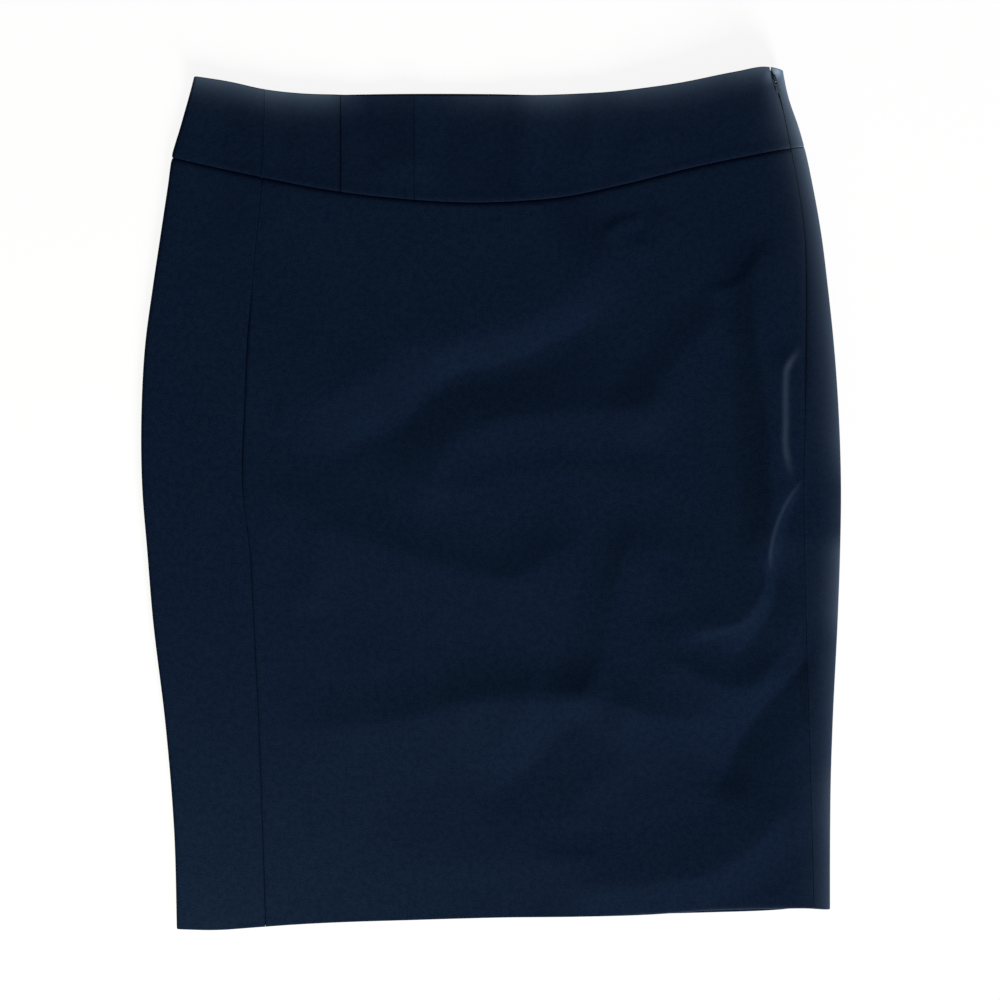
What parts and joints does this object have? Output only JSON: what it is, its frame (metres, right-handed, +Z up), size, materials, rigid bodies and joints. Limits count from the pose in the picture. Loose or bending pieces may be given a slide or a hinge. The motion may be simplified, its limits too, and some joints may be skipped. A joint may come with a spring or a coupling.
{
  "type": "pencil skirt laid flat",
  "caption": "Knee-length pencil skirt laid flat, with a curved seamed yoke, long front panels, a puffed side fold with an invisible zip, and open waist and hem.",
  "frame": {"origin": "on the surface the skirt lies on, under the middle of its bounding box", "axes": "+X across the skirt to the side with the zip, +Y from hem to waist, +Z up, out of the front"},
  "size_m": [0.4771, 0.5873, 0.0165],
  "materials": {
    "suiting": "dark navy plain-woven suiting, matt, with a faint sheen where it turns away",
    "zip_tape": "dark navy woven zip tape with its nylon coil",
    "zip_metal": "greyed navy enamelled zinc, satin"
  },
  "bodies": {
    "skirt": {"yoke_side": "suiting", "yoke_outer_strip": "suiting", "yoke_inner_strip": "suiting", "yoke_front": "suiting", "yoke_back": "suiting", "side_front_panel": "suiting", "front_panel": "suiting", "back_panel": "suiting", "zip_tape_front": "zip_tape", "zip_tape_back": "zip_tape", "zip_slider": "zip_metal"},
    "pull_tab": {"zip_pull": "zip_metal"}
  },
  "joints": [
    {"name": "pull_tab_hinge", "type": "hinge", "parent": "skirt", "child": "pull_tab", "pos_m": [0.19253, 0.28459, 0.01476], "axis": [-0.9492, -0.3104, 0.0516], "range_deg": [0, 170]}
  ]
}
